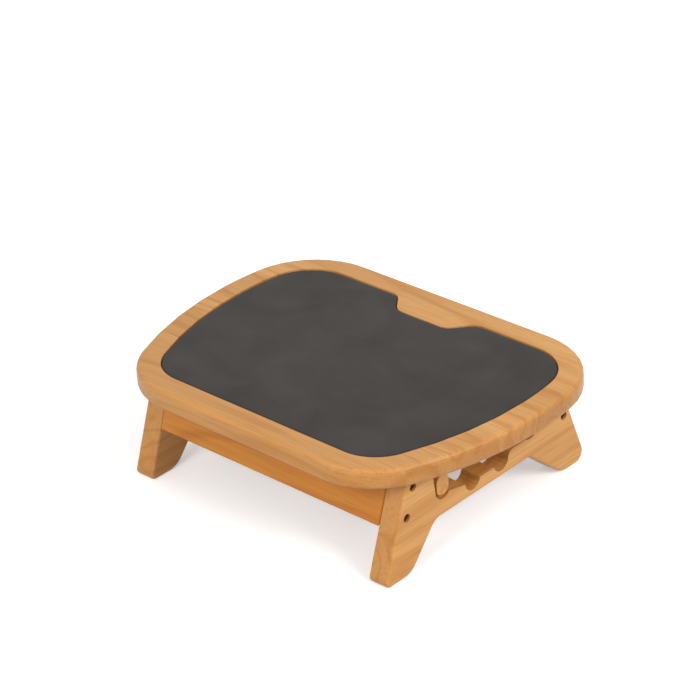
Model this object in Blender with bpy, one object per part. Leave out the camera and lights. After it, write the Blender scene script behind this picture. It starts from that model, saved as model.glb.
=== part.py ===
# Wooden desk footrest: a padded platform hinged along its heel edge to a low
# trestle, and propped by a swinging stay whose foot bar lies in the notches of a
# wavy slot in each side panel.
# Metres. +X is the right-hand side, +Y the toe side, +Z up. The origin is on the
# floor under the middle of the platform.

import math

import bmesh
import bpy
from mathutils import Vector

# Platform
PLATFORM_WIDTH = 0.400
PLATFORM_DEPTH = 0.300
PLATFORM_THICK = 0.020
PLATFORM_TOP = 0.118
SIDE_BOW_RADIUS = 0.342
SIDE_BOW_Y = 0.035
REAR_CORNER_RADIUS = 0.080
FRONT_CORNER_RADIUS = 0.077
TOP_ROUND = 0.005
UNDER_ROUND = 0.004

# Pad and the recess it sits in
RIM_SIDE = 0.024
RIM_REAR = 0.026
RIM_FRONT = 0.0247
PAD_BOW_RADIUS = 0.334
PAD_BOW_Y = 0.038
PAD_REAR_CORNER = 0.051
PAD_FRONT_CORNER = 0.046
TAB_MOUTH = 0.098
TAB_FOOT = 0.061
TAB_DEPTH = 0.0242
TAB_FILLET = 0.014
RECESS_DEPTH = 0.010
BACKING_THICK = 0.003
COVER_THICK = 0.001
PAD_EDGE_DROP = 0.0007
PAD_ROLL = 0.004
PAD_CROWN = 0.0022

# Side panels: Y and Z of the profile
PANEL_THICK = 0.022
PANEL_OVERHANG = 0.041
PANEL_FRONT_SET_IN = 0.0465
PANEL_REAR_SET_IN = 0.038
FRONT_SPLAY = 0.352
REAR_SPLAY = 0.385
ARCH_WEB = 0.0056
ARCH_FRONT_SET_IN = 0.0355
ARCH_REAR_SET_IN = 0.046
FRONT_SOLE_LENGTH = 0.0354
REAR_SOLE_LENGTH = 0.0366
FRONT_TOE_FILLET = 0.005
FRONT_HEEL_FILLET = 0.022
ARCH_FRONT_FILLET = 0.014
ARCH_REAR_FILLET = 0.003
REAR_HEEL_FILLET = 0.022
REAR_TOE_FILLET = 0.010
PANEL_TOP_FILLET = 0.003
PANEL_EDGE_ROUND = 0.002

# Wavy slot, measured down from the platform's underside
NOTCH_Y = (-0.057, -0.0163, 0.024, 0.066)
NOTCH_DROP = (0.031, 0.0419, 0.0416, 0.028)
NOTCH_RADIUS = 0.0105
SLOT_HEADROOM = 0.0075
SLOT_FRONT_LEAN = 0.0025
SLOT_CORNER = 0.006
FIRST_RIDGE_DROP = 0.0065
LAST_RIDGE_DROP = 0.0084

# Aprons and the screws that hold them
APRON_THICK = 0.019
APRON_HEIGHT = 0.0477
SCREW_UPPER_DROP = 0.0097
SCREW_LOWER_DROP = 0.0372
SCREW_HEAD_RADIUS = 0.0032
SCREW_HEAD_THICK = 0.0022
SCREW_SHANK_RADIUS = 0.0018
SCREW_SUNK = 0.0025
FRAME_SCREW_LENGTH = 0.040
FRAME_SCREW_HEAD = 0.0040

# Heel hinges
HINGE_SET_IN = 0.071
HINGE_WIDTH = 0.036
LEAF_LENGTH = 0.022
LEAF_THICK = 0.0013
KNUCKLE_RADIUS = 0.0026
HINGE_PIN_RADIUS = 0.0012
LEAF_SCREW_RADIUS = 0.0014
LEAF_SCREW_HEAD = 0.0026
LEAF_SCREW_LENGTH = 0.008
LEAF_SCREW_PITCH = 0.020

# Stay: the foot bar in the notches, two arms and the rod under the platform
TILT_LIMIT = 30.0
BAR_THICK = 0.016
BAR_HEIGHT = 0.020
BAR_LIFT = 0.0043
BAR_SHIFT = 0.0005
BAR_CORNER = 0.0065
ARM_THICK = 0.014
ARM_SET_IN = 0.018
ARM_EYE_RADIUS = 0.009
ARM_FOOT_HEIGHT = 0.015
BAR_SCREW_LENGTH = 0.034
BAR_SCREW_DROP = 0.001
ROD_RADIUS = 0.004
ROD_Y = 0.040
ROD_DROP = 0.013

# Slotted guide blocks under the platform, in which the rod slides
GUIDE_SIDE_GAP = 0.002
GUIDE_THICK = 0.012
GUIDE_END_WALL = 0.014
GUIDE_UNDER_WALL = 0.006
GUIDE_CORNER = 0.005
GUIDE_SCREW_LENGTH = 0.020
GUIDE_SCREW_BITE = 0.007
GUIDE_SCREW_END = 0.0065

# Clearances
GAP = 0.0003
RUNNING_GAP = 0.0002
PILOT_GAP = 0.0003

CORNER_STEPS = 9
BOW_STEPS = 8
FILLET_STEPS = 5
ROUND_SIDES = 16

HALF_WIDTH = PLATFORM_WIDTH / 2
HALF_DEPTH = PLATFORM_DEPTH / 2
PLATFORM_UNDER = PLATFORM_TOP - PLATFORM_THICK
PANEL_OUTER_X = HALF_WIDTH - PANEL_OVERHANG
PANEL_INNER_X = PANEL_OUTER_X - PANEL_THICK
PANEL_TOP = PLATFORM_UNDER - GAP
PANEL_FRONT_TOP = PANEL_FRONT_SET_IN - HALF_DEPTH
PANEL_REAR_TOP = HALF_DEPTH - PANEL_REAR_SET_IN
ARCH_FRONT = PANEL_FRONT_TOP + ARCH_FRONT_SET_IN
ARCH_REAR = PANEL_REAR_TOP - ARCH_REAR_SET_IN
NOTCH_Z = tuple(PLATFORM_UNDER - drop for drop in NOTCH_DROP)
SLOT_TOP = PLATFORM_UNDER - SLOT_HEADROOM
FIRST_RIDGE = NOTCH_Z[0] - FIRST_RIDGE_DROP
LAST_RIDGE = NOTCH_Z[3] - LAST_RIDGE_DROP
ARCH_HEIGHT = min(NOTCH_Z) - NOTCH_RADIUS - ARCH_WEB
APRON_LOWER_EDGE = PANEL_TOP - APRON_HEIGHT
SCREW_UPPER_Z = PANEL_TOP - SCREW_UPPER_DROP
SCREW_LOWER_Z = PANEL_TOP - SCREW_LOWER_DROP
HINGE_X = PANEL_INNER_X - HINGE_SET_IN
BAR_Y = NOTCH_Y[0] - BAR_SHIFT
BAR_Z = NOTCH_Z[0] + BAR_LIFT
ARM_OUTER_X = PANEL_INNER_X - ARM_SET_IN
HINGE_Z = PLATFORM_UNDER - KNUCKLE_RADIUS - GAP
HINGE_Y = (PANEL_FRONT_TOP - FRONT_SPLAY * (PANEL_TOP - HINGE_Z)
           - (KNUCKLE_RADIUS + GAP) * math.hypot(1, FRONT_SPLAY))
ROD_Z = PLATFORM_UNDER - ROD_DROP
ARM_INNER_X = ARM_OUTER_X - ARM_THICK
GUIDE_INNER_X = ARM_OUTER_X + GUIDE_SIDE_GAP
GUIDE_OUTER_X = GUIDE_INNER_X + GUIDE_THICK
ROD_END_X = PANEL_INNER_X - 5 * GAP
RECESS_FLOOR = PLATFORM_TOP - RECESS_DEPTH

OAK_HONEY = (0.72, 0.42, 0.18, 1.0)
APRON_AMBER = (0.62, 0.32, 0.10, 1.0)
CHARCOAL = (0.075, 0.070, 0.066, 1.0)
FOAM_CREAM = (0.80, 0.76, 0.62, 1.0)
PLY_TAN = (0.66, 0.50, 0.31, 1.0)
STEEL_GREY = (0.55, 0.55, 0.56, 1.0)
SCREW_DARK = (0.16, 0.11, 0.08, 1.0)


def clear_scene():
    for existing in list(bpy.data.objects):
        bpy.data.objects.remove(existing, do_unlink=True)


def material(name, colour, roughness, metallic=0.0):
    made = bpy.data.materials.new(name)
    made.use_nodes = True
    shader = made.node_tree.nodes["Principled BSDF"]
    shader.inputs["Base Color"].default_value = colour
    shader.inputs["Roughness"].default_value = roughness
    shader.inputs["Metallic"].default_value = metallic
    return made


# Outlines

def arc(centre_u, centre_v, radius, start, end, steps):
    points = []
    for step in range(steps + 1):
        angle = math.radians(start + (end - start) * step / steps)
        points.append((centre_u + radius * math.cos(angle),
                       centre_v + radius * math.sin(angle)))
    return points


def filleted(corners, steps=FILLET_STEPS):
    """A closed outline from (u, v, fillet radius) corners."""
    points = []
    count = len(corners)
    for index, (u, v, radius) in enumerate(corners):
        here = Vector((u, v))
        before = Vector(corners[index - 1][:2]) - here
        after = Vector(corners[(index + 1) % count][:2]) - here
        if radius == 0:
            points.append((u, v))
            continue
        before.normalize()
        after.normalize()
        half = before.angle(after) / 2
        centre = here + (before + after).normalized() * radius / math.sin(half)
        reach = radius / math.tan(half)
        first = here + before * reach - centre
        last = here + after * reach - centre
        turn = first.angle(last)
        if first.x * last.y - first.y * last.x < 0:
            turn = -turn
        start = math.atan2(first.y, first.x)
        for step in range(steps + 1):
            angle = start + turn * step / steps
            points.append((centre.x + radius * math.cos(angle),
                           centre.y + radius * math.sin(angle)))
    return points


def bowed_quarter(half_width, edge, bow_radius, bow_y, corner):
    """Points from the widest place of a bowed side round to a straight edge."""
    bow_x = half_width - bow_radius
    corner_y = edge - corner
    corner_x = bow_x + math.sqrt((bow_radius - corner) ** 2 - (corner_y - bow_y) ** 2)
    turn = math.degrees(math.atan2(corner_y - bow_y, corner_x - bow_x))
    bow = arc(bow_x, bow_y, bow_radius, 0, turn, BOW_STEPS // 2)
    end = 90 if edge > bow_y else -90
    return bow + arc(corner_x, corner_y, corner, turn, end, CORNER_STEPS)[1:]


def bowed_front(half_width, edge, bow_radius, bow_y, corner):
    """The same towards the straight edge on the other side of the bow."""
    mirrored = bowed_quarter(half_width, -edge, bow_radius, -bow_y, corner)
    return [(x, -y) for x, y in mirrored]


def bowed_outline(half_width, rear, front, bow_radius, bow_y, rear_corner, front_corner, inset_edge):
    """Anticlockwise outline; inset_edge holds points cut into the rear edge."""
    rear_right = bowed_quarter(half_width, rear, bow_radius, bow_y, rear_corner)
    front_right = bowed_front(half_width, front, bow_radius, bow_y, front_corner)
    outline = rear_right + inset_edge
    outline += [(-x, y) for x, y in reversed(rear_right)]
    outline += [(-x, y) for x, y in front_right[1:]]
    outline += [(x, y) for x, y in reversed(front_right[1:])]
    return outline


def platform_outline():
    return bowed_outline(HALF_WIDTH, HALF_DEPTH, -HALF_DEPTH, SIDE_BOW_RADIUS, SIDE_BOW_Y,
                         REAR_CORNER_RADIUS, FRONT_CORNER_RADIUS, [])


def recess_outline():
    """The pad's recess, with the bare wooden tab standing into its toe edge."""
    rear = HALF_DEPTH - RIM_REAR
    mouth = TAB_MOUTH / 2
    foot = TAB_FOOT / 2
    tab_edge = rear - TAB_DEPTH
    guide = mouth + TAB_DEPTH
    tab = filleted([(guide, rear, 0), (mouth, rear, TAB_FILLET), (foot, tab_edge, TAB_FILLET),
                    (-foot, tab_edge, TAB_FILLET), (-mouth, rear, TAB_FILLET), (-guide, rear, 0)],
                   FILLET_STEPS - 1)
    return bowed_outline(HALF_WIDTH - RIM_SIDE, rear, RIM_FRONT - HALF_DEPTH, PAD_BOW_RADIUS,
                         PAD_BOW_Y, PAD_REAR_CORNER, PAD_FRONT_CORNER, tab[1:-1])


def inset(outline, distance):
    """The outline moved inwards by a distance, corner by corner."""
    moved = []
    count = len(outline)
    for index in range(count):
        here = Vector(outline[index])
        before = (here - Vector(outline[index - 1])).normalized()
        after = (Vector(outline[(index + 1) % count]) - here).normalized()
        mitre = Vector((-before.y - after.y, before.x + after.x)).normalized()
        square = Vector((-before.y, before.x))
        moved.append(tuple(here + mitre * distance / max(0.5, mitre.dot(square))))
    return moved


def panel_profile():
    """Side panel in Y and Z: splayed feet, a low arch and a straight top."""
    front_toe = PANEL_FRONT_TOP - FRONT_SPLAY * PANEL_TOP
    rear_toe = PANEL_REAR_TOP + REAR_SPLAY * PANEL_TOP
    return filleted([
        (PANEL_REAR_TOP, PANEL_TOP, PANEL_TOP_FILLET),
        (PANEL_FRONT_TOP, PANEL_TOP, PANEL_TOP_FILLET),
        (front_toe, 0, FRONT_TOE_FILLET),
        (front_toe + FRONT_SOLE_LENGTH, 0, FRONT_HEEL_FILLET),
        (ARCH_FRONT, ARCH_HEIGHT, ARCH_FRONT_FILLET),
        (ARCH_REAR, ARCH_HEIGHT, ARCH_REAR_FILLET),
        (rear_toe - REAR_SOLE_LENGTH, 0, REAR_HEEL_FILLET),
        (rear_toe, 0, REAR_TOE_FILLET),
    ])


def notch(index, start, end):
    return arc(NOTCH_Y[index], NOTCH_Z[index], NOTCH_RADIUS, start, end, FILLET_STEPS + 2)


def slot_profile():
    """The slot in Y and Z: four round notches under one straight upper edge."""
    first_shoulder = math.degrees(math.asin((FIRST_RIDGE - NOTCH_Z[0]) / NOTCH_RADIUS))
    last_shoulder = math.degrees(math.asin((LAST_RIDGE - NOTCH_Z[3]) / NOTCH_RADIUS))
    slot_front = NOTCH_Y[0] - NOTCH_RADIUS
    slot_rear = NOTCH_Y[3] + NOTCH_RADIUS
    third_rise = NOTCH_Y[2] + NOTCH_RADIUS + 0.4 * (LAST_RIDGE - NOTCH_Z[2])
    outline = notch(0, 180, 360 + first_shoulder)
    outline += notch(1, 180, 348)
    outline += notch(2, 194, 360)
    outline += [(third_rise, NOTCH_Z[2] + 0.7 * (LAST_RIDGE - NOTCH_Z[2])),
                (third_rise + NOTCH_RADIUS / 2, LAST_RIDGE)]
    outline += notch(3, 180 - last_shoulder, 360)
    outline += arc(slot_rear - SLOT_CORNER, SLOT_TOP - SLOT_CORNER, SLOT_CORNER, 0, 90, FILLET_STEPS)
    outline += arc(slot_front - SLOT_FRONT_LEAN + SLOT_CORNER, SLOT_TOP - SLOT_CORNER,
                   SLOT_CORNER, 90, 180, FILLET_STEPS)
    return outline


# Meshes

def finish_mesh(mesh_builder, name, look, smooth_angle=35):
    bmesh.ops.recalc_face_normals(mesh_builder, faces=mesh_builder.faces)
    mesh = bpy.data.meshes.new(name)
    mesh_builder.to_mesh(mesh)
    mesh_builder.free()
    mesh.shade_smooth()
    mesh.set_sharp_from_angle(angle=math.radians(smooth_angle))
    if look is not None:
        mesh.materials.append(look)
    made = bpy.data.objects.new(name, mesh)
    bpy.context.scene.collection.objects.link(made)
    return made


def cap(builder, ring):
    builder.faces.new(ring)


def bridge(builder, lower, upper):
    count = len(lower)
    for index in range(count):
        following = (index + 1) % count
        builder.faces.new((lower[index], lower[following], upper[following], upper[index]))


def side_slab(name, outline, low_x, high_x, look):
    """A board cut to an outline in Y and Z, standing between two X planes."""
    builder = bmesh.new()
    low = [builder.verts.new((low_x, y, z)) for y, z in outline]
    high = [builder.verts.new((high_x, y, z)) for y, z in outline]
    cap(builder, low)
    cap(builder, high)
    bridge(builder, low, high)
    return finish_mesh(builder, name, look)


def level_slab(name, outline, low_z, high_z, look):
    """A board cut to an outline in X and Y, lying between two heights."""
    builder = bmesh.new()
    low = [builder.verts.new((x, y, low_z)) for x, y in outline]
    high = [builder.verts.new((x, y, high_z)) for x, y in outline]
    cap(builder, low)
    cap(builder, high)
    bridge(builder, low, high)
    return finish_mesh(builder, name, look)


def add_rod(builder, start, end, radii, sides=ROUND_SIDES):
    """A turned pin; radii is a list of (share of the length, radius)."""
    start = Vector(start)
    along = Vector(end) - start
    across = along.orthogonal().normalized()
    third = along.normalized().cross(across)
    rings = []
    for share, radius in radii:
        ring = []
        for side in range(sides):
            angle = 2 * math.pi * side / sides
            offset = (across * math.cos(angle) + third * math.sin(angle)) * radius
            ring.append(builder.verts.new(start + along * share + offset))
        rings.append(ring)
    cap(builder, rings[0])
    cap(builder, rings[-1])
    for lower, upper in zip(rings, rings[1:]):
        bridge(builder, lower, upper)


def make_screw(name, seat, direction, length, shank, head, head_thick, look):
    """A flat-headed screw whose head starts at seat and points along direction."""
    builder = bmesh.new()
    seat = Vector(seat)
    way = Vector(direction).normalized()
    neck = head_thick / length
    tip = 1 - 1.5 * shank / length
    add_rod(builder, seat, seat + way * length,
            [(0, head), (neck * 0.5, head), (neck, shank), (tip, shank), (1, shank * 0.3)], 12)
    return finish_mesh(builder, name, look)


def rods(name, runs, look):
    """One object that holds several pins given as (start, end, radii)."""
    builder = bmesh.new()
    for start, end, radii in runs:
        add_rod(builder, start, end, radii)
    return finish_mesh(builder, name, look)


def as_cutter(cutter):
    cutter.hide_render = True
    cutter.display_type = "WIRE"
    return cutter


def cut(piece, cutter):
    as_cutter(cutter)
    step = piece.modifiers.new("Cut " + cutter.name, "BOOLEAN")
    step.operation = "DIFFERENCE"
    step.solver = "EXACT"
    step.object = cutter


def round_edges(piece, width, segments):
    step = piece.modifiers.new("Eased edges", "BEVEL")
    step.width = width
    step.segments = segments
    step.limit_method = "ANGLE"
    step.angle_limit = math.radians(50)


def hang_on(piece, axis_empty):
    """Give a moving piece its origin on the axis it turns about."""
    offset = axis_empty.location
    for vertex in piece.data.vertices:
        vertex.co -= offset
    piece.parent = axis_empty


def axis_point(name, y, z):
    made = bpy.data.objects.new(name, None)
    made.location = (0, y, z)
    bpy.context.scene.collection.objects.link(made)
    return made


# Platform and pad

def make_platform(look):
    outline = platform_outline()
    levels = []
    for step in range(4):
        angle = math.radians(30 * step)
        levels.append((UNDER_ROUND * (1 - math.sin(angle)),
                       PLATFORM_UNDER + UNDER_ROUND * (1 - math.cos(angle))))
    for step in range(4):
        angle = math.radians(30 * step)
        levels.append((TOP_ROUND * (1 - math.cos(angle)),
                       PLATFORM_TOP - TOP_ROUND * (1 - math.sin(angle))))
    builder = bmesh.new()
    rings = []
    for distance, height in levels:
        rings.append([builder.verts.new((x, y, height)) for x, y in inset(outline, distance)])
    cap(builder, rings[0])
    cap(builder, rings[-1])
    for lower, upper in zip(rings, rings[1:]):
        bridge(builder, lower, upper)
    board = finish_mesh(builder, "platform_board", look)
    recess = level_slab("recess_cutter", recess_outline(), RECESS_FLOOR, PLATFORM_TOP + 0.01, None)
    cut(board, recess)
    return board


def crown_height(x, y):
    """The pad's top before its edge is rolled down: a low, even dome."""
    across = abs(x) / (HALF_WIDTH - RIM_SIDE)
    along = abs(y) / (HALF_DEPTH - RIM_REAR)
    return PLATFORM_TOP - PAD_EDGE_DROP + PAD_CROWN * (1 - across ** 3) * (1 - along ** 3)


def crown_rings(distance, drop, coarse):
    """Rings of the pad's top: drawn in at the edge, then rising to its crown.

    distance moves the whole form inwards and drop lowers it.
    """
    outline = inset(recess_outline(), GAP + distance)
    rolls = (0.0, 1.0) if coarse else (0.0, 0.35, 1.0)
    shares = (0.7, 0.3) if coarse else (0.86, 0.66, 0.42, 0.18)
    rings = []
    for roll in rolls:
        fall = drop + PAD_ROLL * 0.5 * (1 - roll) ** 2
        rings.append([(x, y, crown_height(x, y) - fall) for x, y in inset(outline, PAD_ROLL * roll)])
    for share in shares:
        scaled = [(x * share, y * share) for x, y in inset(outline, PAD_ROLL)]
        rings.append([(x, y, crown_height(x, y) - drop) for x, y in scaled])
    return rings, crown_height(0, 0) - drop


def add_crown(builder, rings, top):
    made = []
    for ring in rings:
        made.append([builder.verts.new(point) for point in ring])
    for lower, upper in zip(made, made[1:]):
        bridge(builder, lower, upper)
    centre = builder.verts.new((0, 0, top))
    last = made[-1]
    for index in range(len(last)):
        builder.faces.new((last[index], last[(index + 1) % len(last)], centre))
    return made[0]


def make_pad(cover_look, foam_look, backing_look):
    floor = RECESS_FLOOR + GAP
    builder = bmesh.new()
    outer_rings, outer_top = crown_rings(0, 0, False)
    outer_edge = add_crown(builder, outer_rings, outer_top)
    inner_rings, inner_top = crown_rings(COVER_THICK, COVER_THICK * 1.6, True)
    inner_edge = add_crown(builder, inner_rings, inner_top)
    outer_foot = [builder.verts.new((v.co.x, v.co.y, floor)) for v in outer_edge]
    inner_foot = [builder.verts.new((v.co.x, v.co.y, floor)) for v in inner_edge]
    bridge(builder, outer_foot, outer_edge)
    bridge(builder, inner_foot, inner_edge)
    bridge(builder, outer_foot, inner_foot)
    cover = finish_mesh(builder, "pad_cover", cover_look)

    backing_top = floor + BACKING_THICK
    lining = inset(recess_outline(), GAP + COVER_THICK + GAP)
    backing = level_slab("pad_backing", lining, floor, backing_top, backing_look)

    builder = bmesh.new()
    foam_rings, foam_top = crown_rings(COVER_THICK + GAP, COVER_THICK * 1.6 + GAP, True)
    foam_edge = add_crown(builder, foam_rings, foam_top)
    foam_foot = [builder.verts.new((v.co.x, v.co.y, backing_top + GAP)) for v in foam_edge]
    bridge(builder, foam_foot, foam_edge)
    cap(builder, foam_foot)
    foam = finish_mesh(builder, "pad_foam", foam_look)
    return [cover, backing, foam]


# Trestle

def apron_profile(top_y, splay, toward):
    """A leaning board in Y and Z; toward is +1 where its back is on the +Y side."""
    slant = math.hypot(1, splay)
    depth = toward * APRON_THICK * slant
    lean = splay * (PANEL_TOP - APRON_LOWER_EDGE)
    foot_y = top_y - toward * lean
    return [(top_y, PANEL_TOP), (top_y + depth, PANEL_TOP),
            (foot_y + depth, APRON_LOWER_EDGE), (foot_y, APRON_LOWER_EDGE)]


def frame_screw_places():
    """Y and Z of the screws, on the middle line of each apron's thickness."""
    places = []
    for top_y, splay, toward in ((PANEL_FRONT_TOP, FRONT_SPLAY, 1), (PANEL_REAR_TOP, REAR_SPLAY, -1)):
        middle = toward * APRON_THICK * math.hypot(1, splay) / 2
        for height in (SCREW_UPPER_Z, SCREW_LOWER_Z):
            places.append((top_y - toward * splay * (PANEL_TOP - height) + middle, height))
    return places


def make_trestle(panel_look, apron_look, screw_look):
    made = []
    slot = slot_profile()
    places = frame_screw_places()
    head_hole = FRAME_SCREW_HEAD + GAP
    shank_hole = SCREW_SHANK_RADIUS + PILOT_GAP
    head_depth = SCREW_SUNK + SCREW_HEAD_THICK + GAP
    aprons = []
    inner = PANEL_INNER_X - GAP
    for name, top_y, splay, toward in (("front_apron", PANEL_FRONT_TOP, FRONT_SPLAY, 1),
                                       ("rear_apron", PANEL_REAR_TOP, REAR_SPLAY, -1)):
        board = side_slab(name, apron_profile(top_y, splay, toward), -inner, inner, apron_look)
        round_edges(board, PANEL_EDGE_ROUND / 2, 1)
        aprons.append(board)
    pilot_end = PANEL_OUTER_X - SCREW_SUNK - FRAME_SCREW_LENGTH - PILOT_GAP
    for side, word in ((1, "right"), (-1, "left")):
        panel = side_slab("side_panel_" + word, panel_profile(),
                          side * PANEL_INNER_X, side * PANEL_OUTER_X, panel_look)
        round_edges(panel, PANEL_EDGE_ROUND, 2)
        cut(panel, side_slab("slot_cutter_" + word, slot, side * (PANEL_INNER_X - 0.01),
                             side * (PANEL_OUTER_X + 0.01), None))
        runs = []
        pilots = []
        reach = PANEL_OUTER_X + 0.01
        bore = reach - PANEL_INNER_X + 0.01
        wide = (reach - PANEL_OUTER_X + head_depth) / bore
        for number, (y, z) in enumerate(places, 1):
            start = (side * reach, y, z)
            runs.append((start, (side * (reach - bore), y, z),
                         [(0, head_hole), (wide, head_hole), (wide + 0.001, shank_hole), (1, shank_hole)]))
            pilots.append(((side * PANEL_OUTER_X, y, z), (side * pilot_end, y, z),
                           [(0, shank_hole), (1, shank_hole)]))
            seat = (side * (PANEL_OUTER_X - SCREW_SUNK), y, z)
            made.append(make_screw("frame_screw_%s_%d" % (word, number), seat, (-side, 0, 0),
                                   FRAME_SCREW_LENGTH, SCREW_SHANK_RADIUS, FRAME_SCREW_HEAD,
                                   SCREW_HEAD_THICK, screw_look))
        cut(panel, rods("screw_hole_cutter_" + word, runs, None))
        pilot_cutter = rods("pilot_cutter_" + word, pilots, None)
        for board in aprons:
            cut(board, pilot_cutter)
        made.append(panel)
    return made + aprons


# Heel hinges

def leaf_frame(moving):
    """Unit vectors along a leaf, away from the pin, and out of the board under it."""
    if moving:
        return Vector((0, -1, 0)), Vector((0, 0, -1))
    down = Vector((0, -FRONT_SPLAY, -1)).normalized()
    return down, Vector((0, -1, FRONT_SPLAY)).normalized()


def leaf_screw_places(centre_x, moving):
    """Seats of the leaf's two screws, at the face of the leaf."""
    along, out = leaf_frame(moving)
    root = Vector((centre_x, HINGE_Y, HINGE_Z))
    middle = root + along * (LEAF_LENGTH + KNUCKLE_RADIUS) * 0.5 + out * (LEAF_THICK - KNUCKLE_RADIUS)
    return [middle + Vector((shift, 0, 0)) for shift in (-LEAF_SCREW_PITCH / 2, LEAF_SCREW_PITCH / 2)]


def leaf_profile(moving):
    """The rolled knuckle and the flat of a leaf, as one outline in Y and Z."""
    along, out = leaf_frame(moving)
    face = LEAF_THICK - KNUCKLE_RADIUS
    meet = math.degrees(math.asin(face / KNUCKLE_RADIUS))
    outline = [(LEAF_LENGTH, -KNUCKLE_RADIUS)]
    outline += arc(0, 0, KNUCKLE_RADIUS, -90, meet - 360, ROUND_SIDES)
    outline.append((LEAF_LENGTH, face))
    points = []
    for reach, height in outline:
        place = along * reach + out * height
        points.append((HINGE_Y + place.y, HINGE_Z + place.z))
    return points


def leaf_gap(name, centre_x, left, right, moving):
    """A block that clears the other leaf's knuckle out of a leaf."""
    along, out = leaf_frame(moving)
    root = Vector((centre_x, HINGE_Y, HINGE_Z))
    corners = []
    builder = bmesh.new()
    for x in (left, right):
        for reach in (-2 * KNUCKLE_RADIUS, KNUCKLE_RADIUS + 2 * RUNNING_GAP):
            for height in (-2 * KNUCKLE_RADIUS, 2 * KNUCKLE_RADIUS):
                place = root + Vector((x, 0, 0)) + along * reach + out * height
                corners.append(builder.verts.new(place))
    bmesh.ops.convex_hull(builder, input=corners)
    return finish_mesh(builder, name, None)


def make_leaf(name, centre_x, moving, look):
    """A leaf with its share of the knuckles, the pin's bore and two sunk holes."""
    out = leaf_frame(moving)[1]
    half = HINGE_WIDTH / 2
    third = HINGE_WIDTH / 3
    leaf = side_slab(name, leaf_profile(moving), centre_x - half, centre_x + half, look)
    if moving:
        gaps = [(-half - third, RUNNING_GAP - third / 2), (third / 2 - RUNNING_GAP, half + third)]
    else:
        gaps = [(-third / 2 - RUNNING_GAP, third / 2 + RUNNING_GAP)]
    for number, (left, right) in enumerate(gaps, 1):
        cut(leaf, leaf_gap("%s_gap_%d" % (name, number), centre_x, left, right, moving))
    bore = HINGE_PIN_RADIUS + RUNNING_GAP
    reach = Vector((HINGE_WIDTH, 0, 0))
    root = Vector((centre_x, HINGE_Y, HINGE_Z))
    cut(leaf, rods(name + "_pin_cutter", [(root - reach, root + reach, [(0, bore), (1, bore)])], None))
    holes = []
    margin = 0.001
    length = LEAF_THICK + 2 * margin
    hole = LEAF_SCREW_RADIUS + RUNNING_GAP
    wide = LEAF_SCREW_HEAD + RUNNING_GAP
    for place in leaf_screw_places(centre_x, moving):
        holes.append((place + out * margin, place - out * (LEAF_THICK + margin),
                      [(0, wide), ((margin + 0.7 * LEAF_THICK) / length, wide),
                       ((margin + 1.2 * LEAF_THICK) / length, hole), (1, hole)]))
    cut(leaf, rods(name + "_screw_cutter", holes, None))
    return leaf


def make_hinges(look, screw_look):
    fixed, moving = [], []
    pilots = {True: [], False: []}
    for side, word in ((1, "right"), (-1, "left")):
        centre = side * HINGE_X
        fixed.append(make_leaf("hinge_fixed_leaf_" + word, centre, False, look))
        moving.append(make_leaf("hinge_moving_leaf_" + word, centre, True, look))
        end = HINGE_WIDTH / 2
        fixed.append(rods("hinge_pin_" + word,
                          [((centre - end, HINGE_Y, HINGE_Z), (centre + end, HINGE_Y, HINGE_Z),
                            [(0, HINGE_PIN_RADIUS), (1, HINGE_PIN_RADIUS)])], look))
        for is_moving in (True, False):
            out = leaf_frame(is_moving)[1]
            group, kind = (moving, "moving") if is_moving else (fixed, "fixed")
            for number, place in enumerate(leaf_screw_places(centre, is_moving), 1):
                seat = place - out * RUNNING_GAP
                group.append(make_screw("%s_leaf_screw_%s_%d" % (kind, word, number), seat, -out,
                                        LEAF_SCREW_LENGTH, LEAF_SCREW_RADIUS - RUNNING_GAP,
                                        LEAF_SCREW_HEAD - RUNNING_GAP, LEAF_THICK, screw_look))
                radius = LEAF_SCREW_RADIUS + RUNNING_GAP
                pilots[is_moving].append((place, place - out * (LEAF_SCREW_LENGTH + 2 * GAP),
                                          [(0, radius), (1, radius)]))
    board_pilots = rods("board_pilot_cutter", pilots[True], None)
    apron_pilots = rods("apron_pilot_cutter", pilots[False], None)
    return fixed, moving, board_pilots, apron_pilots


# Stay

def bar_profile():
    half_thick = BAR_THICK / 2
    half_height = BAR_HEIGHT / 2
    return filleted([(BAR_Y + half_thick, BAR_Z + half_height, BAR_CORNER),
                     (BAR_Y - half_thick, BAR_Z + half_height, BAR_CORNER),
                     (BAR_Y - half_thick, BAR_Z - half_height, BAR_CORNER),
                     (BAR_Y + half_thick, BAR_Z - half_height, BAR_CORNER)])


def arm_profile():
    """An arm in Y and Z, from its round eye to the back of the bar."""
    foot_y = BAR_Y + BAR_THICK / 2 + GAP
    half = ARM_FOOT_HEIGHT / 2
    lean = math.degrees(math.atan2(ROD_Z - BAR_Z, ROD_Y - foot_y))
    eye = arc(ROD_Y, ROD_Z, ARM_EYE_RADIUS, lean - 90, lean + 90, 2 * CORNER_STEPS)
    return eye + [(foot_y, BAR_Z + half), (foot_y, BAR_Z - half)]


def across(radius, y, z, low_x, high_x, side=1):
    """A run for a straight round pin or bore that lies along X."""
    return ((side * low_x, y, z), (side * high_x, y, z), [(0, radius), (1, radius)])


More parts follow.
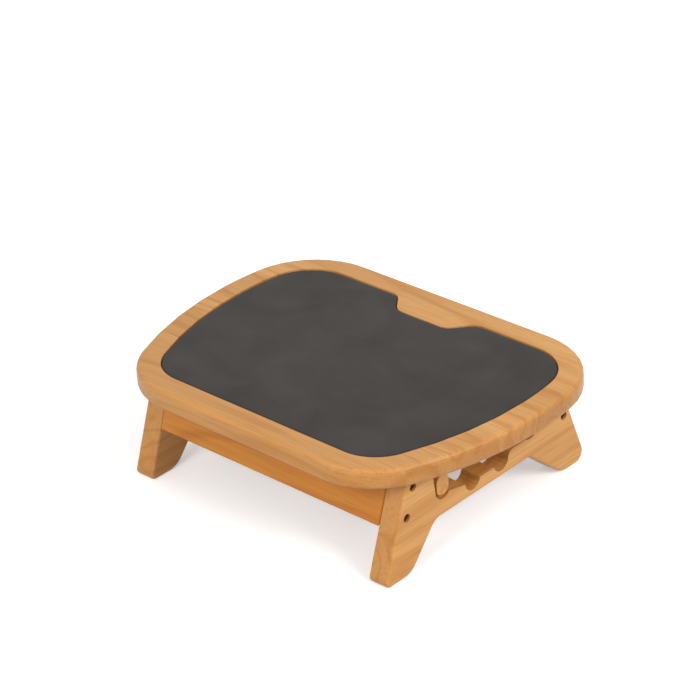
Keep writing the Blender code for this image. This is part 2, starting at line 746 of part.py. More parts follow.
def make_stay(look, rod_look, screw_look):
    bar = side_slab("foot_bar", bar_profile(), -PANEL_OUTER_X, PANEL_OUTER_X, look)
    made = [bar, rods("head_rod", [across(ROD_RADIUS, ROD_Y, ROD_Z, -ROD_END_X, ROD_END_X)], rod_look)]
    shank_hole = SCREW_SHANK_RADIUS + PILOT_GAP
    head_hole = SCREW_HEAD_RADIUS + GAP
    front = BAR_Y - BAR_THICK / 2
    run_out = 0.002
    bore_length = BAR_THICK + 2 * run_out
    wide = (run_out + BAR_SCREW_DROP + SCREW_HEAD_THICK + GAP) / bore_length
    bar_holes = []
    for side, word in ((1, "right"), (-1, "left")):
        middle = side * (ARM_INNER_X + ARM_THICK / 2)
        arm = side_slab("stay_arm_" + word, arm_profile(), side * ARM_INNER_X, side * ARM_OUTER_X, look)
        cut(arm, rods("arm_eye_cutter_" + word, [across(ROD_RADIUS + RUNNING_GAP, ROD_Y, ROD_Z,
                                                        ARM_INNER_X - 0.01, ARM_OUTER_X + 0.01, side)], None))
        pilot_end = front + BAR_SCREW_DROP + BAR_SCREW_LENGTH + GAP
        cut(arm, rods("arm_pilot_cutter_" + word,
                      [((middle, front, BAR_Z), (middle, pilot_end, BAR_Z),
                        [(0, shank_hole), (1, shank_hole)])], None))
        bar_holes.append(((middle, front - run_out, BAR_Z), (middle, front + BAR_THICK + run_out, BAR_Z),
                          [(0, head_hole), (wide, head_hole), (wide + 0.01, shank_hole), (1, shank_hole)]))
        made.append(arm)
        made.append(make_screw("stay_screw_" + word, (middle, front + BAR_SCREW_DROP, BAR_Z), (0, 1, 0),
                               BAR_SCREW_LENGTH, SCREW_SHANK_RADIUS, SCREW_HEAD_RADIUS,
                               SCREW_HEAD_THICK, screw_look))
    cut(bar, rods("bar_hole_cutter", bar_holes, None))
    return made


def rod_in_platform(tilt):
    """Where the rod's middle lies among the guide blocks, at a tilt in degrees."""
    start = math.atan2(ROD_Z - BAR_Z, ROD_Y - BAR_Y)
    reach = math.hypot(ROD_Z - BAR_Z, ROD_Y - BAR_Y)
    swing = start + math.radians(tilt) * swing_ratio()
    y = BAR_Y + reach * math.cos(swing) - HINGE_Y
    z = BAR_Z + reach * math.sin(swing) - HINGE_Z
    turn = math.radians(tilt)
    return (HINGE_Y + y * math.cos(turn) + z * math.sin(turn),
            HINGE_Z - y * math.sin(turn) + z * math.cos(turn))


def swing_ratio():
    """Turn of the stay for each degree of tilt, exact at both ends of the travel."""
    tilt = math.radians(TILT_LIMIT)
    reach = math.hypot(ROD_Z - BAR_Z, ROD_Y - BAR_Y)
    rise = ((BAR_Y - HINGE_Y) * math.sin(tilt) + (HINGE_Z - BAR_Z) * math.cos(tilt)
            - (HINGE_Z - ROD_Z))
    start = math.atan2(ROD_Z - BAR_Z, ROD_Y - BAR_Y)
    return (math.asin(rise / reach) + tilt - start) / tilt


def make_guides(look, screw_look):
    """Blocks under the platform with a long slot each, for the ends of the rod."""
    path = [rod_in_platform(TILT_LIMIT * step / 12) for step in range(13)]
    clear = ROD_RADIUS + GAP
    slot_front = min(y for y, z in path) - clear
    slot_rear = max(y for y, z in path) + clear
    slot_low = min(z for y, z in path) - clear
    slot_high = max(z for y, z in path) + clear
    corner = (slot_high - slot_low) / 2 - RUNNING_GAP
    slot = filleted([(slot_rear, slot_high, corner), (slot_front, slot_high, corner),
                     (slot_front, slot_low, corner), (slot_rear, slot_low, corner)])
    front = slot_front - GUIDE_END_WALL
    rear = slot_rear + GUIDE_END_WALL
    low = slot_low - GUIDE_UNDER_WALL
    high = PLATFORM_UNDER - GAP
    seat_z = PLATFORM_UNDER + GUIDE_SCREW_BITE - GUIDE_SCREW_LENGTH
    head_hole = SCREW_HEAD_RADIUS + GAP
    shank_hole = SCREW_SHANK_RADIUS + PILOT_GAP
    wide = (seat_z + SCREW_HEAD_THICK + GAP - low + GAP) / (high - low + 2 * GAP)
    made, pilots = [], []
    for side, word in ((1, "right"), (-1, "left")):
        block = side_slab("guide_block_" + word,
                          filleted([(rear, high, 0), (front, high, 0),
                                    (front, low, GUIDE_CORNER), (rear, low, GUIDE_CORNER)]),
                          side * GUIDE_INNER_X, side * GUIDE_OUTER_X, look)
        cut(block, side_slab("guide_slot_cutter_" + word, slot, side * (GUIDE_INNER_X - 0.01),
                             side * (GUIDE_OUTER_X + 0.01), None))
        middle = side * (GUIDE_INNER_X + GUIDE_THICK / 2)
        holes = []
        for number, y in enumerate((front + GUIDE_SCREW_END, rear - GUIDE_SCREW_END), 1):
            holes.append(((middle, y, low - GAP), (middle, y, high + GAP),
                          [(0, head_hole), (wide, head_hole), (wide + 0.01, shank_hole), (1, shank_hole)]))
            pilots.append(((middle, y, PLATFORM_UNDER - 0.002),
                           (middle, y, PLATFORM_UNDER + GUIDE_SCREW_BITE + GAP),
                           [(0, shank_hole), (1, shank_hole)]))
            made.append(make_screw("guide_screw_%s_%d" % (word, number), (middle, y, seat_z), (0, 0, 1),
                                   GUIDE_SCREW_LENGTH, SCREW_SHANK_RADIUS, SCREW_HEAD_RADIUS,
                                   SCREW_HEAD_THICK, screw_look))
        cut(block, rods("guide_hole_cutter_" + word, holes, None))
        made.append(block)
    return made, rods("guide_pilot_cutter", pilots, None)


def build():
    clear_scene()
    wood = material("honey wood", OAK_HONEY, 0.45)
    apron_wood = material("amber wood", APRON_AMBER, 0.50)
    fabric = material("charcoal cloth", CHARCOAL, 0.95)
    foam = material("foam", FOAM_CREAM, 0.90)
    ply = material("plywood", PLY_TAN, 0.60)
    steel = material("hinge steel", STEEL_GREY, 0.35, 1.0)
    dark_steel = material("screw steel", SCREW_DARK, 0.45, 0.9)

    tilt_axis = axis_point("tilt_axis", HINGE_Y, HINGE_Z)
    swing_axis = axis_point("swing_axis", BAR_Y, BAR_Z)

    board = make_platform(wood)
    pad = make_pad(fabric, foam, ply)
    trestle = make_trestle(wood, apron_wood, dark_steel)
    fixed, moving, board_pilots, apron_pilots = make_hinges(steel, dark_steel)
    stay = make_stay(wood, steel, dark_steel)
    guides, guide_pilots = make_guides(wood, dark_steel)

    cut(board, board_pilots)
    cut(board, guide_pilots)
    front_apron = next(piece for piece in trestle if piece.name == "front_apron")
    cut(front_apron, apron_pilots)

    for piece in [board] + pad + moving + guides:
        hang_on(piece, tilt_axis)
    for piece in stay:
        hang_on(piece, swing_axis)


build()
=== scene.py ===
import math

import bmesh
import bpy
from mathutils import Matrix, Vector


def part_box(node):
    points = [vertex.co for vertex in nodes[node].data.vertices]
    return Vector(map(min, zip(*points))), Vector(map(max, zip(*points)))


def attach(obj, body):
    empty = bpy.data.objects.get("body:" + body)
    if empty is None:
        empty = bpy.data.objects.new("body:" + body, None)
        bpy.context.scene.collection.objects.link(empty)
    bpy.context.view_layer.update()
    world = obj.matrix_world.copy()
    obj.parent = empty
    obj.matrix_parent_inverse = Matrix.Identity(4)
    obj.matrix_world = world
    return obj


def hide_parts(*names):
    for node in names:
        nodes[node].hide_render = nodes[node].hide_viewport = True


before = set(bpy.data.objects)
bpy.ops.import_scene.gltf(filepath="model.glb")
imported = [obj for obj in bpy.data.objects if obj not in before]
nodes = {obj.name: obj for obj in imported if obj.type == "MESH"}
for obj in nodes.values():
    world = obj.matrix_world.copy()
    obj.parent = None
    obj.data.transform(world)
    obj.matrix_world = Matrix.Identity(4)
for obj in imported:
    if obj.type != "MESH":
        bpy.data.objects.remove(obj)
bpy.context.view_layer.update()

# Side panels: two boards of solid rubberwood, each sawn to two splayed feet under
# a low arch, with a wavy slot routed through it. They are sanded, eased on all
# edges and oiled, and the aprons are screwed between them.

HONEY_LIGHT = (0.686, 0.353, 0.110)
HONEY_MID = (0.577, 0.259, 0.063)
HONEY_DARK = (0.350, 0.120, 0.024)
FIGURE_STRETCH = 0.10
FIGURE_FINENESS = 14.0
RING_COUNT = 9.0
PATCH_FINENESS = 22.0
FIBRE_STRETCH = 0.030
FIBRE_FINENESS = 420.0
PORE_FINENESS = 900.0
END_SHADE = 0.42
GRAIN_RELIEF = 0.0005
OIL_SHINE = 0.28


def new_finish(name, colour, roughness, metallic=0.0):
    made = bpy.data.materials.new(name)
    made.use_nodes = True
    made.diffuse_color = (*colour, 1.0)
    shader = made.node_tree.nodes["Principled BSDF"]
    shader.inputs["Base Color"].default_value = (*colour, 1.0)
    shader.inputs["Roughness"].default_value = roughness
    shader.inputs["Metallic"].default_value = metallic
    return made, made.node_tree, shader


def finish_node(tree, kind, settings=(), inputs=()):
    """A shader node with its properties set and its sockets filled or linked."""
    made = tree.nodes.new(kind)
    for key, value in dict(settings).items():
        setattr(made, key, value)
    for key, value in dict(inputs).items():
        if isinstance(value, bpy.types.NodeSocket):
            tree.links.new(value, made.inputs[key])
        else:
            made.inputs[key].default_value = value
    return made


def finish_sum(tree, operation, first, second=0.0):
    return finish_node(tree, "ShaderNodeMath", {"operation": operation}, {0: first, 1: second}).outputs[0]


def finish_ramp(tree, factor, stops):
    made = finish_node(tree, "ShaderNodeValToRGB", (), {0: factor})
    band = made.color_ramp
    while len(band.elements) < len(stops):
        band.elements.new(0.5)
    for element, (place, colour) in zip(band.elements, stops):
        element.position = place
        element.color = (*colour, 1.0)
    return made.outputs[0]


def finish_mix(tree, blend, factor, first, second):
    made = finish_node(tree, "ShaderNodeMix", {"data_type": "RGBA", "blend_type": blend}, {0: factor})
    for index, value in ((6, first), (7, second)):
        if isinstance(value, bpy.types.NodeSocket):
            tree.links.new(value, made.inputs[index])
        else:
            made.inputs[index].default_value = (*value, 1.0)
    return made.outputs[2]


def speckle(tree, place, scale, detail, roughness=0.5, distortion=0.0):
    """A cloudy pattern of that fineness, from 0 to 1."""
    return finish_node(tree, "ShaderNodeTexNoise", (), {
        "Vector": place, "Scale": scale, "Detail": detail,
        "Roughness": roughness, "Distortion": distortion}).outputs["Fac"]


def drawn_out(tree, place, grain, stretch, shift):
    """The same place, stretched along the grain."""
    scale = [stretch if axis == grain else 1.0 for axis in "XYZ"]
    return finish_node(tree, "ShaderNodeMapping", (), {
        "Vector": place, "Scale": scale, "Location": (shift, shift * 0.7, 0.0)}).outputs[0]


def stave_tone(tree, place, axis, width, shift):
    """A random number for each glued stave of a board."""
    across = finish_node(tree, "ShaderNodeSeparateXYZ", (), {0: place}).outputs[axis]
    staves_in = finish_sum(tree, "DIVIDE", finish_sum(tree, "ADD", across, shift), width)
    number = finish_sum(tree, "FLOOR", staves_in)
    return finish_node(tree, "ShaderNodeTexWhiteNoise", {"noise_dimensions": "1D"},
                       {"W": number}).outputs["Value"]


def rubberwood(name, grain, light, mid, dark, roughness, stave=None, seed=0.0, end_shade=END_SHADE):
    """Oiled wood. grain is the axis it runs along; stave is (axis, width) of glued strips."""
    made, tree, shader = new_finish(name, mid, roughness)
    place = finish_node(tree, "ShaderNodeTexCoord").outputs["Object"]
    tone = None
    if stave:
        tone = stave_tone(tree, place, stave[0], stave[1], seed)
        reaches = [finish_sum(tree, "MULTIPLY", tone, reach) for reach in (7.0, 3.0, 5.0)]
        jump = finish_node(tree, "ShaderNodeCombineXYZ", (), dict(enumerate(reaches)))
        place = finish_node(tree, "ShaderNodeVectorMath", {"operation": "ADD"},
                            {0: place, 1: jump.outputs[0]}).outputs[0]
    along = drawn_out(tree, place, grain, FIGURE_STRETCH, seed)
    fine = drawn_out(tree, place, grain, FIBRE_STRETCH, 0.0)
    figure = speckle(tree, along, FIGURE_FINENESS, 2.0, 0.45, 0.25)
    rings = finish_sum(tree, "PINGPONG", finish_sum(tree, "MULTIPLY", figure, RING_COUNT), 0.5)
    fibre = speckle(tree, fine, FIBRE_FINENESS, 3.0, 0.6)
    pores = speckle(tree, fine, PORE_FINENESS, 1.0)
    patches = speckle(tree, along, PATCH_FINENESS, 2.0)
    colour = finish_ramp(tree, rings, [(0.0, light), (0.30, light), (0.46, mid), (0.5, mid)])
    for pattern, start, end, most, shade in ((patches, 0.40, 0.75, 0.70, mid),
                                             (fibre, 0.46, 0.80, 0.42, dark),
                                             (pores, 0.64, 0.74, 0.45, dark)):
        amount = finish_ramp(tree, pattern, [(start, (0.0,) * 3), (end, (most,) * 3)])
        colour = finish_mix(tree, "MIX", amount, colour, shade)
    normal = finish_node(tree, "ShaderNodeTexCoord").outputs["Normal"]
    facing = finish_node(tree, "ShaderNodeSeparateXYZ", (), {0: normal}).outputs["XYZ".index(grain)]
    end_grain = finish_sum(tree, "MULTIPLY", finish_sum(tree, "MULTIPLY", facing, facing), end_shade)
    colour = finish_mix(tree, "MIX", end_grain, colour, dark)
    if tone:
        shade = finish_ramp(tree, tone, [(0.0, (0.86, 0.83, 0.80)), (1.0, (1.0, 1.0, 1.0))])
        colour = finish_mix(tree, "MULTIPLY", 1.0, colour, shade)
    tree.links.new(colour, shader.inputs["Base Color"])
    relief = finish_sum(tree, "ADD", fibre, finish_sum(tree, "MULTIPLY", pores, -0.6))
    bump = finish_node(tree, "ShaderNodeBump", (), {
        "Height": relief, "Strength": 0.10, "Distance": GRAIN_RELIEF})
    tree.links.new(bump.outputs[0], shader.inputs["Normal"])
    shader.inputs["Specular IOR Level"].default_value = OIL_SHINE
    shader.inputs["Coat Weight"].default_value = 0.04
    shader.inputs["Coat Roughness"].default_value = 0.35
    return made


def dress(name, look):
    """A CAD piece keeps its shape and takes a look."""
    finishes = nodes[name].data.materials
    finishes.clear()
    finishes.append(look)


panel_wood = rubberwood("panel wood", "Y", HONEY_LIGHT, HONEY_MID, HONEY_DARK, 0.42, seed=1.3)
for side in ("left", "right"):
    dress("side_panel_" + side, panel_wood)

# Aprons: a front and a rear board of the same wood in a deeper amber tone. They
# lean with the legs and stand flush with their edges, held by four screws each.

AMBER_LIGHT = (0.580, 0.223, 0.029)
AMBER_MID = (0.503, 0.166, 0.018)
AMBER_DARK = (0.300, 0.085, 0.010)

apron_wood = rubberwood("apron wood", "X", AMBER_LIGHT, AMBER_MID, AMBER_DARK, 0.42, seed=4.1)
for name in ("front_apron", "rear_apron"):
    dress(name, apron_wood)

# Wood screws: browned steel with flat heads. The frame screws go through the side
# panels into the ends of the aprons, and their heads sit a little below the surface.

BROWNED_STEEL = (0.075, 0.026, 0.015)
# The screws' cross recesses are painted shade: near-black sheets of this size, laid just proud of each
# frame screw head in place of cut hollows.
RECESS_SHADOW = (0.012, 0.010, 0.009)
RECESS_LENGTH = 0.0045
RECESS_WIDTH = 0.0010
RECESS_PROUD = 0.00005
RECESS_TURNS = (35, 125)


def plated_steel(name, colour, roughness, scratch):
    made, tree, shader = new_finish(name, colour, roughness, 1.0)
    place = finish_node(tree, "ShaderNodeTexCoord").outputs["Object"]
    grit = speckle(tree, place, scratch, 3.0)
    worn = tuple(min(1.0, value * 1.15) for value in colour)
    tree.links.new(finish_ramp(tree, grit, [(0.40, colour), (0.72, worn)]), shader.inputs["Base Color"])
    rough = finish_sum(tree, "ADD", finish_sum(tree, "MULTIPLY", grit, 0.22), roughness - 0.11)
    tree.links.new(rough, shader.inputs["Roughness"])
    return made


screw_steel = plated_steel("browned screw steel", BROWNED_STEEL, 0.42, 900.0)
for name in nodes:
    if "screw" in name:
        dress(name, screw_steel)

# Painted shade of the cross recesses: the cross shape is the screws' real recess, and its near-black
# colour is painted shade, laid on each head as two thin sheets.
recess_shade_mesh = bmesh.new()
for name in nodes:
    if name.startswith("frame_screw_"):
        low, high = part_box(name)
        outward = 1 if high[0] > 0 else -1
        seat = high[0] if outward > 0 else low[0]
        middle = Vector((seat, (low[1] + high[1]) / 2, (low[2] + high[2]) / 2))
        for turn in RECESS_TURNS:
            size = Matrix.Diagonal((2 * RECESS_PROUD, RECESS_LENGTH, RECESS_WIDTH, 1.0))
            spin = Matrix.Rotation(math.radians(turn), 4, "X")
            stroke = Matrix.Translation(middle) @ spin @ size
            bmesh.ops.create_cube(recess_shade_mesh, size=1.0, matrix=stroke)
recess_shade_data = bpy.data.meshes.new("screw_recesses")
recess_shade_mesh.to_mesh(recess_shade_data)
recess_shade_mesh.free()
recess_shade_data.materials.append(new_finish("recess shadow", RECESS_SHADOW, 0.8)[0])
recess_shade_sheets = bpy.data.objects.new("screw_recesses", recess_shade_data)
bpy.context.scene.collection.objects.link(recess_shade_sheets)
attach(recess_shade_sheets, "base")

# Heel hinges: two butt hinges of zinc-plated steel sheet, rolled round a steel
# pin, screwed to the front apron and to the underside of the platform.

ZINC = (0.52, 0.53, 0.55)

zinc = plated_steel("zinc plated steel", ZINC, 0.34, 260.0)
for side in ("left", "right"):
    for name in ("hinge_fixed_leaf_", "hinge_moving_leaf_", "hinge_pin_"):
        dress(name + side, zinc)

# Platform board: rubberwood staves glued edge to edge and cut to a bowed oblong.
# Its edges are rounded over, and a recess with a bare tab is routed for the pad.

STAVE_WIDTH = 0.046

board_wood = rubberwood("platform wood", "X", HONEY_LIGHT, HONEY_MID, HONEY_DARK, 0.40,
                        stave=(1, STAVE_WIDTH), seed=0.021)
dress("platform_board", board_wood)

# Pad backing and foam: a thin sheet of plywood glued to the recess's floor, and a
# sheet of cream foam on it, both wrapped by the cover.

PLY_LIGHT = (0.70, 0.55, 0.36)
PLY_MID = (0.62, 0.46, 0.28)
PLY_DARK = (0.40, 0.27, 0.15)
FOAM_CREAM = (0.80, 0.74, 0.58)

ply = rubberwood("plywood", "X", PLY_LIGHT, PLY_MID, PLY_DARK, 0.60, seed=2.2)
dress("pad_backing", ply)

foam_look, foam_tree, foam_shader = new_finish("cream foam", FOAM_CREAM, 0.95)
foam_place = finish_node(foam_tree, "ShaderNodeTexCoord").outputs["Object"]
cells = finish_node(foam_tree, "ShaderNodeTexVoronoi", (), {"Vector": foam_place, "Scale": 900.0})
foam_bump = finish_node(foam_tree, "ShaderNodeBump", (), {
    "Height": cells.outputs["Distance"], "Strength": 0.4, "Distance": 0.0006})
foam_tree.links.new(foam_bump.outputs[0], foam_shader.inputs["Normal"])
dress("pad_foam", foam_look)

# Pad cover: charcoal brushed cloth stretched over the foam and tucked into the
# recess, so that its edge rolls down against the wooden rim and round the tab.

RECESS_PLAY = 0.0003
SEAM_GAP = 0.0004
EDGE_DROP = 0.0007
ROLL_INWARD = 0.0030
ROLL_FALL = 0.0022
ROLL_STEPS = 6
TOP_RING_SHARES = (0.97, 0.93, 0.86, 0.77, 0.66, 0.54, 0.42, 0.30, 0.18, 0.08)
OUTLINE_STEP = 0.008
TAB_DEPTH = 0.0242
TAB_MOUTH = 0.049
TAB_FOOT = 0.0305
TAB_FILLET = 0.014
PAD_BOW = 0.334
PAD_BOW_Y = 0.038
PAD_REAR_CORNER = 0.051
PAD_FRONT_CORNER = 0.046
CLOTH_THICK = 0.0008
CLOTH = (0.0405, 0.0345, 0.0300)

cover_low, cover_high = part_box("pad_cover")
board_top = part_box("platform_board")[1][2]
pad_half_width = cover_high[0] + RECESS_PLAY
pad_rear = cover_high[1] + RECESS_PLAY
pad_front = cover_low[1] - RECESS_PLAY
tab_edge = pad_rear - TAB_DEPTH
pad_edge = board_top - EDGE_DROP
pad_crown = cover_high[2] - pad_edge


def arc(centre_x, centre_y, radius, start, end, steps):
    return [(centre_x + radius * math.cos(start + (end - start) * step / steps),
             centre_y + radius * math.sin(start + (end - start) * step / steps))
            for step in range(steps + 1)]


def bowed_side(half_width, edge, bow, bow_y, corner):
    """From the widest place of a bowed side round to a straight edge."""
    lift = 1 if edge > bow_y else -1
    reach = abs(edge - bow_y) - corner
    middle = half_width - bow
    corner_x = middle + math.sqrt((bow - corner) ** 2 - reach ** 2)
    turn = math.atan2(reach, corner_x - middle)
    points = arc(middle, 0, bow, 0, turn, 10)
    points += arc(corner_x, reach, corner, turn, math.pi / 2, 16)[1:]
    return [(x, bow_y + lift * y) for x, y in points]


def fillet(before, corner, after, radius):
    """The round that joins two straight runs at a corner of the tab."""
    here = Vector(corner)
    back = (Vector(before) - here).normalized()
    ahead = (Vector(after) - here).normalized()
    half = back.angle(ahead) / 2
    centre = here + (back + ahead).normalized() * radius / math.sin(half)
    first = here + back * radius / math.tan(half) - centre
    last = here + ahead * radius / math.tan(half) - centre
    turn = math.atan2(first.x * last.y - first.y * last.x, first.dot(last))
    start = math.atan2(first.y, first.x)
    return arc(centre.x, centre.y, radius, start, start + turn, 8)


def pad_outline():
    rear = bowed_side(pad_half_width, pad_rear, PAD_BOW, PAD_BOW_Y, PAD_REAR_CORNER)
    front = bowed_side(pad_half_width, pad_front, PAD_BOW, PAD_BOW_Y, PAD_FRONT_CORNER)
    mouth, foot = (TAB_MOUTH, pad_rear), (TAB_FOOT, tab_edge)
    tab = fillet((pad_half_width, pad_rear), mouth, foot, TAB_FILLET)
    tab += fillet(mouth, foot, (0, tab_edge), TAB_FILLET)
    half = rear + tab
    outline = half + [(-x, y) for x, y in reversed(half)]
    outline += [(-x, y) for x, y in front[1:]]
    outline += [(x, y) for x, y in reversed(front[1:])]
    return outline


def drawn_in(outline, distance):
    """The outline moved inward, with each corner mitred."""
    moved = []
    count = len(outline)
    for index in range(count):
        here = Vector(outline[index])
        back = (here - Vector(outline[index - 1])).normalized()
        ahead = (Vector(outline[(index + 1) % count]) - here).normalized()
        mitre = Vector((-back.y - ahead.y, back.x + ahead.x)).normalized()
        square = max(0.5, mitre.dot(Vector((-back.y, back.x))))
        moved.append((here.x + mitre.x * distance / square, here.y + mitre.y * distance / square))
    return moved


def resampled(outline, step):
    """The outline with extra points on its long straight runs."""
    points = []
    for index, start in enumerate(outline):
        end = outline[(index + 1) % len(outline)]
        pieces = max(1, math.ceil(math.dist(start, end) / step))
        for piece in range(pieces):
            share = piece / pieces
            points.append((start[0] + (end[0] - start[0]) * share,
                           start[1] + (end[1] - start[1]) * share))
    return points


def dome(x, y):
    """The height of the cover's top, highest in the middle."""
    across = min(1.0, abs(x) / pad_half_width)
    along = min(1.0, abs(y) / pad_rear)
    return pad_edge + pad_crown * (1 - across ** 3) * (1 - along ** 3)


outline = drawn_in(resampled(pad_outline(), OUTLINE_STEP), SEAM_GAP)
cover_mesh = bmesh.new()
rings = [[(x, y, cover_low[2]) for x, y in outline]]
for step in range(ROLL_STEPS + 1):
    lean = math.pi / 2 * step / ROLL_STEPS
    inward = ROLL_INWARD * (1 - math.cos(lean))
    fall = ROLL_FALL * (1 - math.sin(lean))
    rings.append([(x, y, dome(x, y) - fall) for x, y in drawn_in(outline, inward)])
inner = drawn_in(outline, ROLL_INWARD)
for share in TOP_RING_SHARES:
    rings.append([(x * share, y * share, dome(x * share, y * share)) for x, y in inner])
made_rings = [[cover_mesh.verts.new(point) for point in ring] for ring in rings]
for lower, upper in zip(made_rings, made_rings[1:]):
    for index in range(len(lower)):
        after = (index + 1) % len(lower)
        cover_mesh.faces.new((lower[index], lower[after], upper[after], upper[index]))
middle = cover_mesh.verts.new((0, 0, dome(0, 0)))
last_ring = made_rings[-1]
for index, corner in enumerate(last_ring):
    cover_mesh.faces.new((corner, last_ring[(index + 1) % len(last_ring)], middle))
cover_mesh.normal_update()
cover_data = bpy.data.meshes.new("pad_cloth")
cover_mesh.to_mesh(cover_data)
cover_mesh.free()
cover_data.shade_smooth()
pad = bpy.data.objects.new("pad_cloth", cover_data)
bpy.context.scene.collection.objects.link(pad)

cloth, cloth_tree, cloth_shader = new_finish("charcoal cloth", CLOTH, 0.92)
cloth_place = finish_node(cloth_tree, "ShaderNodeTexCoord").outputs["Object"]
nap = speckle(cloth_tree, cloth_place, 16.0, 4.0, 0.55, 0.4)
thread = speckle(cloth_tree, cloth_place, 1900.0, 2.0)
weave = []
for axis in "XY":
    threads = finish_node(cloth_tree, "ShaderNodeTexWave", {"bands_direction": axis}, {
        "Vector": cloth_place, "Scale": 330.0, "Distortion": 1.5, "Detail": 1.0})
    weave.append(threads.outputs["Fac"])
crossings = finish_sum(cloth_tree, "MULTIPLY", weave[0], weave[1])
weave_height = finish_sum(cloth_tree, "ADD", crossings, thread)
brushed = finish_ramp(cloth_tree, nap, [(0.34, tuple(value * 0.76 for value in CLOTH)),
                                        (0.66, tuple(value * 1.14 for value in CLOTH))])
thread_shade = finish_ramp(cloth_tree, thread, [(0.35, (0.78,) * 3), (0.65, (1.0,) * 3)])
speckled = finish_mix(cloth_tree, "MULTIPLY", 0.5, brushed, thread_shade)
cloth_tree.links.new(speckled, cloth_shader.inputs["Base Color"])
cloth_bump = finish_node(cloth_tree, "ShaderNodeBump", (), {
    "Height": weave_height, "Strength": 0.25, "Distance": 0.0003})
cloth_tree.links.new(cloth_bump.outputs[0], cloth_shader.inputs["Normal"])
cloth_shader.inputs["Sheen Weight"].default_value = 0.10
cloth_shader.inputs["Sheen Roughness"].default_value = 0.5
cloth_shader.inputs["Specular IOR Level"].default_value = 0.25
cover_data.materials.append(cloth)
thickness = pad.modifiers.new("Cloth thickness", "SOLIDIFY")
thickness.thickness = CLOTH_THICK
thickness.offset = -1.0
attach(pad, "platform")
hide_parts("pad_cover")

# Guide blocks: two short blocks of the same wood, screwed up under the platform,
# each with a long slot in which an end of the head rod slides.

block_wood = rubberwood("block wood", "Y", HONEY_LIGHT, HONEY_MID, HONEY_DARK, 0.45, seed=7.7)
for side in ("left", "right"):
    dress("guide_block_" + side, block_wood)

# Stay: a foot bar whose ends lie in the slots' first notches, two arms screwed to
# its back, and a plated steel rod through their upper ends.

bar_wood = rubberwood("bar wood", "X", HONEY_LIGHT, HONEY_MID, HONEY_DARK, 0.45,
                      seed=5.5, end_shade=0.05)
dress("foot_bar", bar_wood)
for side in ("left", "right"):
    dress("stay_arm_" + side, block_wood)
dress("head_rod", zinc)

# Studio: a pale floor, one soft lamp before the heel edge and one on the right, and
# the camera where the photograph was taken from.

FLOOR_REACH = 9
FLOOR_PALE = 0.95
FLOOR_BOUNCE = 0.45
FLOOR_GLOW = 0.36
SKY_LIGHT = 0.56
SKY_SEEN = 0.44
LAMP_SIZE = 1.3
LAMP_AIM = Vector((0.0, 0.0, 0.05))

floor_mesh = bpy.data.meshes.new("floor")
floor_corners = [(x * FLOOR_REACH, y * FLOOR_REACH, 0) for x, y in ((-1, -1), (1, -1), (1, 1), (-1, 1))]
floor_mesh.from_pydata(floor_corners, [], [(0, 1, 2, 3)])
floor = bpy.data.objects.new("floor", floor_mesh)
bpy.context.scene.collection.objects.link(floor)
pale_floor, floor_tree, floor_shader = new_finish("pale floor", (FLOOR_PALE,) * 3, 0.9)


def seen_directly(tree):
    """1 where the camera, a gloss or a clear surface looks at the studio, else 0."""
    path = finish_node(tree, "ShaderNodeLightPath")
    gloss = finish_sum(tree, "MAXIMUM", path.outputs["Is Glossy Ray"], path.outputs["Is Transmission Ray"])
    return finish_sum(tree, "MAXIMUM", path.outputs["Is Camera Ray"], gloss)


seen = seen_directly(floor_tree)
floor_colour = finish_mix(floor_tree, "MIX", seen, (FLOOR_BOUNCE,) * 3, (FLOOR_PALE,) * 3)
floor_tree.links.new(floor_colour, floor_shader.inputs["Base Color"])
floor_shader.inputs["Emission Color"].default_value = (1.0, 1.0, 1.0, 1.0)
floor_glow = finish_sum(floor_tree, "MULTIPLY", seen, FLOOR_GLOW)
floor_tree.links.new(floor_glow, floor_shader.inputs["Emission Strength"])
floor_shader.inputs["Specular IOR Level"].default_value = 0.0
floor_mesh.materials.append(pale_floor)

world = bpy.data.worlds.new("studio")
world.use_nodes = True
sky_tree = world.node_tree
sky = sky_tree.nodes["Background"]
sky.inputs["Color"].default_value = (1.0, 1.0, 1.0, 1.0)
lift = finish_sum(sky_tree, "MULTIPLY", seen_directly(sky_tree), SKY_SEEN)
sky_tree.links.new(finish_sum(sky_tree, "ADD", lift, SKY_LIGHT), sky.inputs["Strength"])
bpy.context.scene.world = world


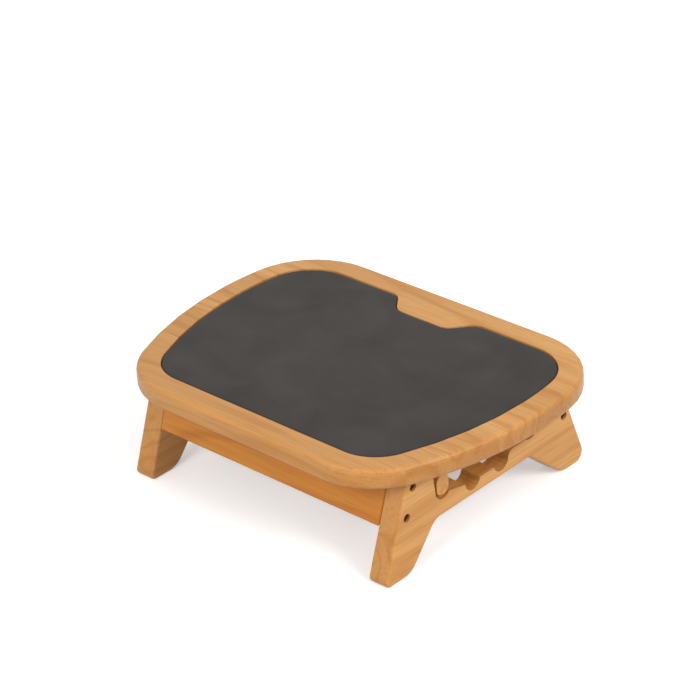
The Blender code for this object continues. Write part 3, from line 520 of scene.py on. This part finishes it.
def lamp(name, place, power):
    data = bpy.data.lights.new(name, "AREA")
    data.shape = "SQUARE"
    data.size = LAMP_SIZE
    data.energy = power
    made = bpy.data.objects.new(name, data)
    made.location = place
    made.rotation_euler = (LAMP_AIM - made.location).to_track_quat("-Z", "Y").to_euler()
    bpy.context.scene.collection.objects.link(made)


lamp("front lamp", (0.2, -2.4, 1.4), 35.0)
lamp("side lamp", (2.4, 0.0, 1.7), 47.0)

PHOTO_SIDE_PIXELS = 700
LENS_PIXELS = 2687.9
LENS_MIDDLE_ACROSS_PIXELS = 390.46
LENS_MIDDLE_DOWN_PIXELS = 341.97
SENSOR_WIDTH = 36.0
CAMERA_AZIMUTH = 0.741307
CAMERA_ELEVATION = 0.505371
CAMERA_ROLL = -0.0434905
CAMERA_AIM = Vector((0.00696, 0.04821, 0.118))
CAMERA_DISTANCE = 2.5197

level = math.cos(CAMERA_ELEVATION)
back = Vector((math.sin(CAMERA_AZIMUTH) * level, -math.cos(CAMERA_AZIMUTH) * level,
               math.sin(CAMERA_ELEVATION)))
right = (-back).cross(Vector((0, 0, 1))).normalized()
up = right.cross(-back)
turned_right = right * math.cos(CAMERA_ROLL) + up * math.sin(CAMERA_ROLL)
turned_up = up * math.cos(CAMERA_ROLL) - right * math.sin(CAMERA_ROLL)
camera_data = bpy.data.cameras.new("camera")
camera_data.sensor_width = SENSOR_WIDTH
camera_data.lens = LENS_PIXELS / PHOTO_SIDE_PIXELS * SENSOR_WIDTH
camera_data.shift_x = 0.5 - LENS_MIDDLE_ACROSS_PIXELS / PHOTO_SIDE_PIXELS
camera_data.shift_y = LENS_MIDDLE_DOWN_PIXELS / PHOTO_SIDE_PIXELS - 0.5
camera = bpy.data.objects.new("camera", camera_data)
pose = Matrix((turned_right, turned_up, back)).transposed().to_4x4()
pose.translation = CAMERA_AIM + back * CAMERA_DISTANCE
camera.matrix_world = pose
bpy.context.scene.collection.objects.link(camera)
bpy.context.scene.camera = camera
bpy.context.scene.view_settings.view_transform = "Standard"
